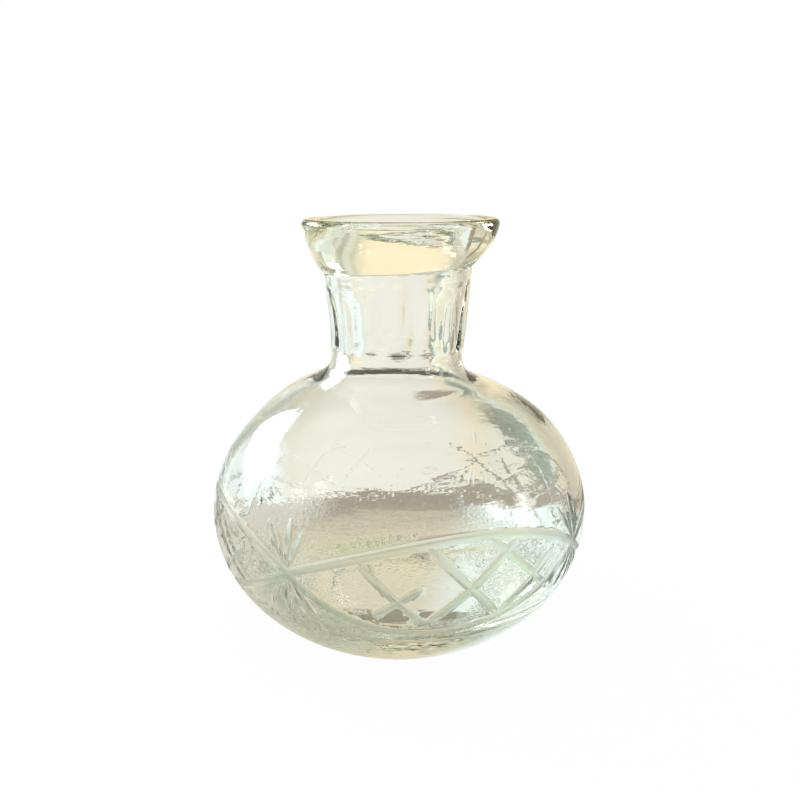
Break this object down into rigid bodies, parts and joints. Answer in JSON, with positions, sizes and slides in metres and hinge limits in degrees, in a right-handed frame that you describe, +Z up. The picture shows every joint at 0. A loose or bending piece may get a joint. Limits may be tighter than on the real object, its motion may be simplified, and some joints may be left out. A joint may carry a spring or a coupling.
{
  "type": "bulbous flower vase",
  "caption": "Bulbous cut-glass flower vase: round hollow body with wheel-cut stars, bows and lattice, a neck cut in flat panels, and a heavy flared lip wound on round the mouth.",
  "frame": {"origin": "centre of the foot, on the surface that the vase stands on", "axes": "+Z up out of the mouth, -Y towards the front panel of the neck, which the picture faces"},
  "size_m": [0.0998, 0.0998, 0.1107],
  "materials": {
    "body_glass": "clear, fire-polished, very faintly green in the thick of the glass, with unpolished grey wheel cuts",
    "lip_glass": "clear and fire-polished, faintly warm in its thick rim"
  },
  "bodies": {
    "root": {"vase_body": "body_glass", "lip_collar": "lip_glass"}
  },
  "joints": []
}
